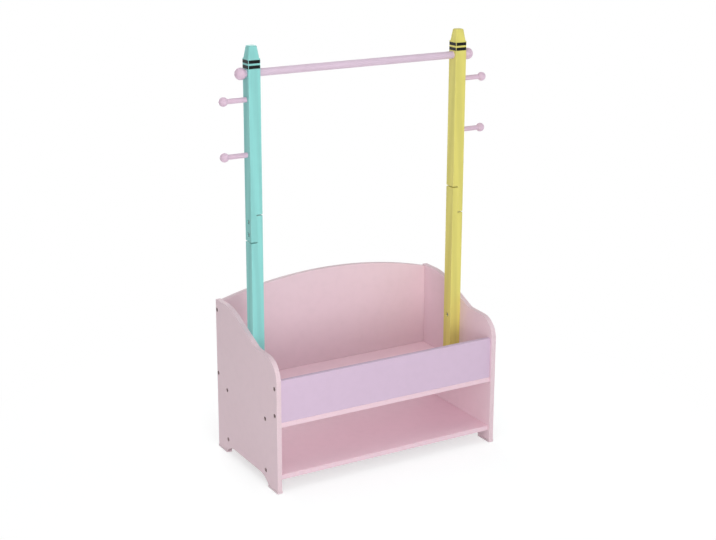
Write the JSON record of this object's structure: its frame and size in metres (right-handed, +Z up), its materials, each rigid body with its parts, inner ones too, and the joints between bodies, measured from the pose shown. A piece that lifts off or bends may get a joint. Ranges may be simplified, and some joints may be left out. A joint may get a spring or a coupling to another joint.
{
  "type": "dress up storage unit",
  "caption": "Child's dress up rail: an open storage box over an open shoe bay, crayon-shaped posts, a hanging rail with ball ends, side pegs and a mirror on one end.",
  "frame": {"origin": "on the floor, under the middle of the unit", "axes": "+X to the right end as seen from the front, +Y to the back, +Z up"},
  "size_m": [0.7204, 0.323, 1.0235],
  "materials": {
    "pink_board": "fibreboard, satin pale pink paint",
    "lilac_board": "fibreboard, satin lilac paint",
    "turquoise_post": "square softwood bar, satin turquoise paint",
    "yellow_post": "square softwood bar, satin yellow paint",
    "pink_dowel": "turned hardwood, satin pink-lilac paint",
    "bare_beech": "bare fluted beech",
    "black_band": "black vinyl band",
    "pink_plastic": "moulded polyethylene glide",
    "foam_pad": "white double-sided foam tape",
    "mirror": "acrylic mirror sheet",
    "zinc_steel": "zinc-plated steel"
  },
  "bodies": {
    "root": {"left_side_panel": "pink_board", "right_side_panel": "pink_board", "back_panel": "pink_board", "middle_shelf": "pink_board", "bottom_shelf": "pink_board", "front_panel": "lilac_board", "left_lower_post": "turquoise_post", "left_upper_post": "turquoise_post", "right_lower_post": "yellow_post", "right_upper_post": "yellow_post", "left_crayon_bands": "black_band", "right_crayon_bands": "black_band", "hanging_rail": "pink_dowel", "left_rail_ball": "pink_dowel", "right_rail_ball": "pink_dowel", "rail_studs": "zinc_steel", "left_upper_peg": "pink_dowel", "left_lower_peg": "pink_dowel", "right_upper_peg": "pink_dowel", "right_lower_peg": "pink_dowel", "mirror_sheet": "mirror", "mirror_pads": "foam_pad", "left_panel_bolts": "zinc_steel", "right_panel_bolts": "zinc_steel", "left_barrel_nuts": "zinc_steel", "right_barrel_nuts": "zinc_steel", "left_dowels": "bare_beech", "right_dowels": "bare_beech", "lap_bolts": "zinc_steel", "lap_inserts": "zinc_steel", "foot_bolts": "zinc_steel", "foot_inserts": "zinc_steel", "tie_bolts": "zinc_steel", "tie_inserts": "zinc_steel", "foot_glides": "pink_plastic", "glide_nails": "zinc_steel"}
  },
  "joints": []
}
